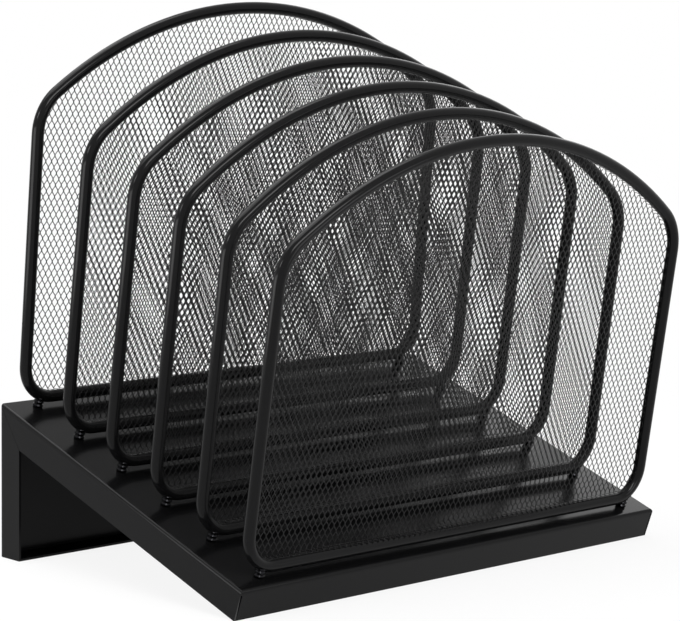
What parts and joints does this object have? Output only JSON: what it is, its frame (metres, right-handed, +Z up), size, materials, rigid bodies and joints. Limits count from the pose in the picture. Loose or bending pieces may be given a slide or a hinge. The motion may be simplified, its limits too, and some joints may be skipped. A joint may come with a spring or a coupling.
{
  "type": "document organizer",
  "caption": "Inclined desktop file sorter: a folded sheet-steel stand with arched wire and mesh dividers, which hold papers and folders on edge in open slots.",
  "frame": {"origin": "on the desk, under the middle of the sorter's bounding box", "axes": "+X to the right along the dividers, -Y to the front, down the slope, +Z up"},
  "size_m": [0.3, 0.2144, 0.2865],
  "materials": {
    "stand_coat": "semi-gloss black powder coat on folded sheet steel",
    "wire_coat": "semi-gloss black powder coat on round steel wire",
    "mesh_coat": "satin black powder coat on expanded steel mesh",
    "stud_plating": "glossy black plated steel",
    "fastener_plating": "bright zinc plating"
  },
  "bodies": {
    "root": {"stand": "stand_coat", "divider_frame_1": "wire_coat", "divider_mesh_1": "mesh_coat", "divider_studs_1": "stud_plating", "divider_frame_2": "wire_coat", "divider_mesh_2": "mesh_coat", "divider_studs_2": "stud_plating", "divider_frame_3": "wire_coat", "divider_mesh_3": "mesh_coat", "divider_studs_3": "stud_plating", "divider_frame_4": "wire_coat", "divider_mesh_4": "mesh_coat", "divider_studs_4": "stud_plating", "divider_frame_5": "wire_coat", "divider_mesh_5": "mesh_coat", "divider_studs_5": "stud_plating", "divider_frame_6": "wire_coat", "divider_mesh_6": "mesh_coat", "divider_studs_6": "stud_plating", "stud_washers": "fastener_plating", "stud_nuts": "fastener_plating"}
  },
  "joints": []
}
